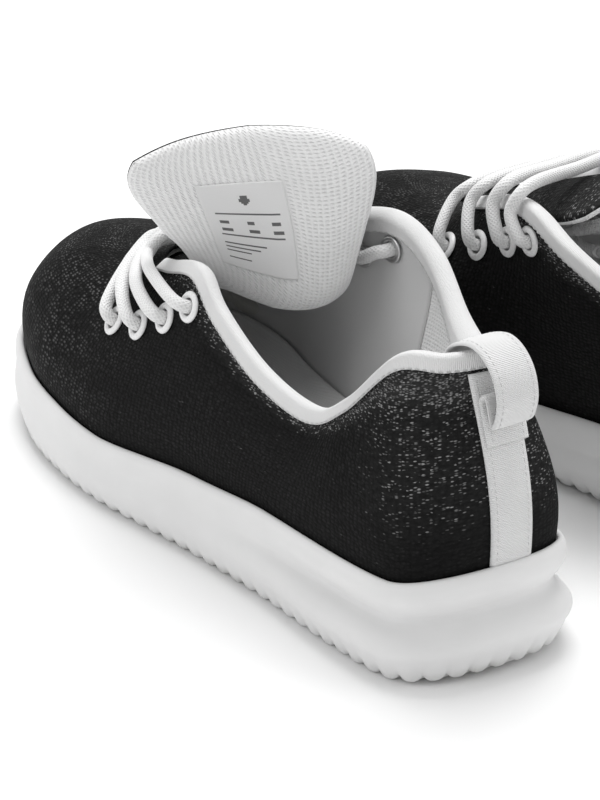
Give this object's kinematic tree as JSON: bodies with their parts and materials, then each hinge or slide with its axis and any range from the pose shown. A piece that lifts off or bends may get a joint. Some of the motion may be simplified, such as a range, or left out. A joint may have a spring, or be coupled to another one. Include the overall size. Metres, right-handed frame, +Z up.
{
  "type": "pair of cheer shoes",
  "caption": "Low lace-up cheerleading shoes: textured knit upper, padded collar with pull tab, laced throat with tongue, and a cushioned one-piece foam cup sole",
  "frame": {"origin": "middle of the pair's box, on the floor under the soles", "axes": "+Z up, +Y towards the toes of the left shoe, +X from the left shoe to the right shoe"},
  "size_m": [0.2278, 0.297, 0.1388],
  "materials": {
    "sole_foam": "smooth matte white foam",
    "knit": "textured black knit with fine light flecks",
    "board": "stiff non-woven board",
    "insole_cloth": "light grey cloth over foam",
    "lining_cloth": "smooth light grey lining",
    "padding": "open foam",
    "mesh_lining": "white spacer mesh",
    "white_tape": "white ribbed tape",
    "eyelet_metal": "white enamel outside, bare metal inside",
    "label": null,
    "lace_cord": "white braided cord",
    "lace_tip": "clear-white moulded tip"
  },
  "bodies": {
    "left_shoe": {"left_sole": "sole_foam", "left_strobel_board": "board", "left_insole": "insole_cloth", "left_upper": "knit", "left_heel_counter": "board", "left_toe_puff": "board", "left_facing_lateral": "board", "left_facing_medial": "board", "left_vamp_lining": "lining_cloth", "left_collar_foam": "padding", "left_collar_lining": "mesh_lining", "left_collar_binding": "white_tape", "left_eyelet_lateral_1": "eyelet_metal", "left_eyelet_lateral_2": "eyelet_metal", "left_eyelet_lateral_3": "eyelet_metal", "left_eyelet_lateral_4": "eyelet_metal", "left_eyelet_medial_1": "eyelet_metal", "left_eyelet_medial_2": "eyelet_metal", "left_eyelet_medial_3": "eyelet_metal", "left_eyelet_medial_4": "eyelet_metal", "left_heel_strip": "white_tape", "left_pull_tab": "white_tape", "left_lace": "lace_cord", "left_aglet_lower": "lace_tip", "left_aglet_upper": "lace_tip"},
    "left_tongue": {"left_tongue_shell": "knit", "left_tongue_foam": "padding", "left_tongue_lining": "mesh_lining", "left_size_label": "label"},
    "right_shoe": {"right_sole": "sole_foam", "right_strobel_board": "board", "right_insole": "insole_cloth", "right_upper": "knit", "right_heel_counter": "board", "right_toe_puff": "board", "right_facing_lateral": "board", "right_facing_medial": "board", "right_vamp_lining": "lining_cloth", "right_collar_foam": "padding", "right_collar_lining": "mesh_lining", "right_collar_binding": "white_tape", "right_eyelet_lateral_1": "eyelet_metal", "right_eyelet_lateral_2": "eyelet_metal", "right_eyelet_lateral_3": "eyelet_metal", "right_eyelet_lateral_4": "eyelet_metal", "right_eyelet_medial_1": "eyelet_metal", "right_eyelet_medial_2": "eyelet_metal", "right_eyelet_medial_3": "eyelet_metal", "right_eyelet_medial_4": "eyelet_metal", "right_heel_strip": "white_tape", "right_pull_tab": "white_tape", "right_lace": "lace_cord", "right_aglet_lower": "lace_tip", "right_aglet_upper": "lace_tip"},
    "right_tongue": {"right_tongue_shell": "knit", "right_tongue_foam": "padding", "right_tongue_lining": "mesh_lining", "right_size_label": "label"}
  },
  "joints": [
    {"name": "right_shoe_apart", "type": "slide", "parent": "left_shoe", "child": "right_shoe", "axis": [1, 0, 0], "range_m": [0, 0.15]},
    {"name": "left_tongue_tilt", "type": "hinge", "parent": "left_shoe", "child": "left_tongue", "pos_m": [-0.06083, 0.07126, 0.0724], "axis": [1, 0, 0], "range_deg": [-6, 6]},
    {"name": "right_tongue_tilt", "type": "hinge", "parent": "right_shoe", "child": "right_tongue", "pos_m": [0.05037, 0.05428, 0.0724], "axis": [0.9925, 0.1219, 0], "range_deg": [0, 7]}
  ]
}
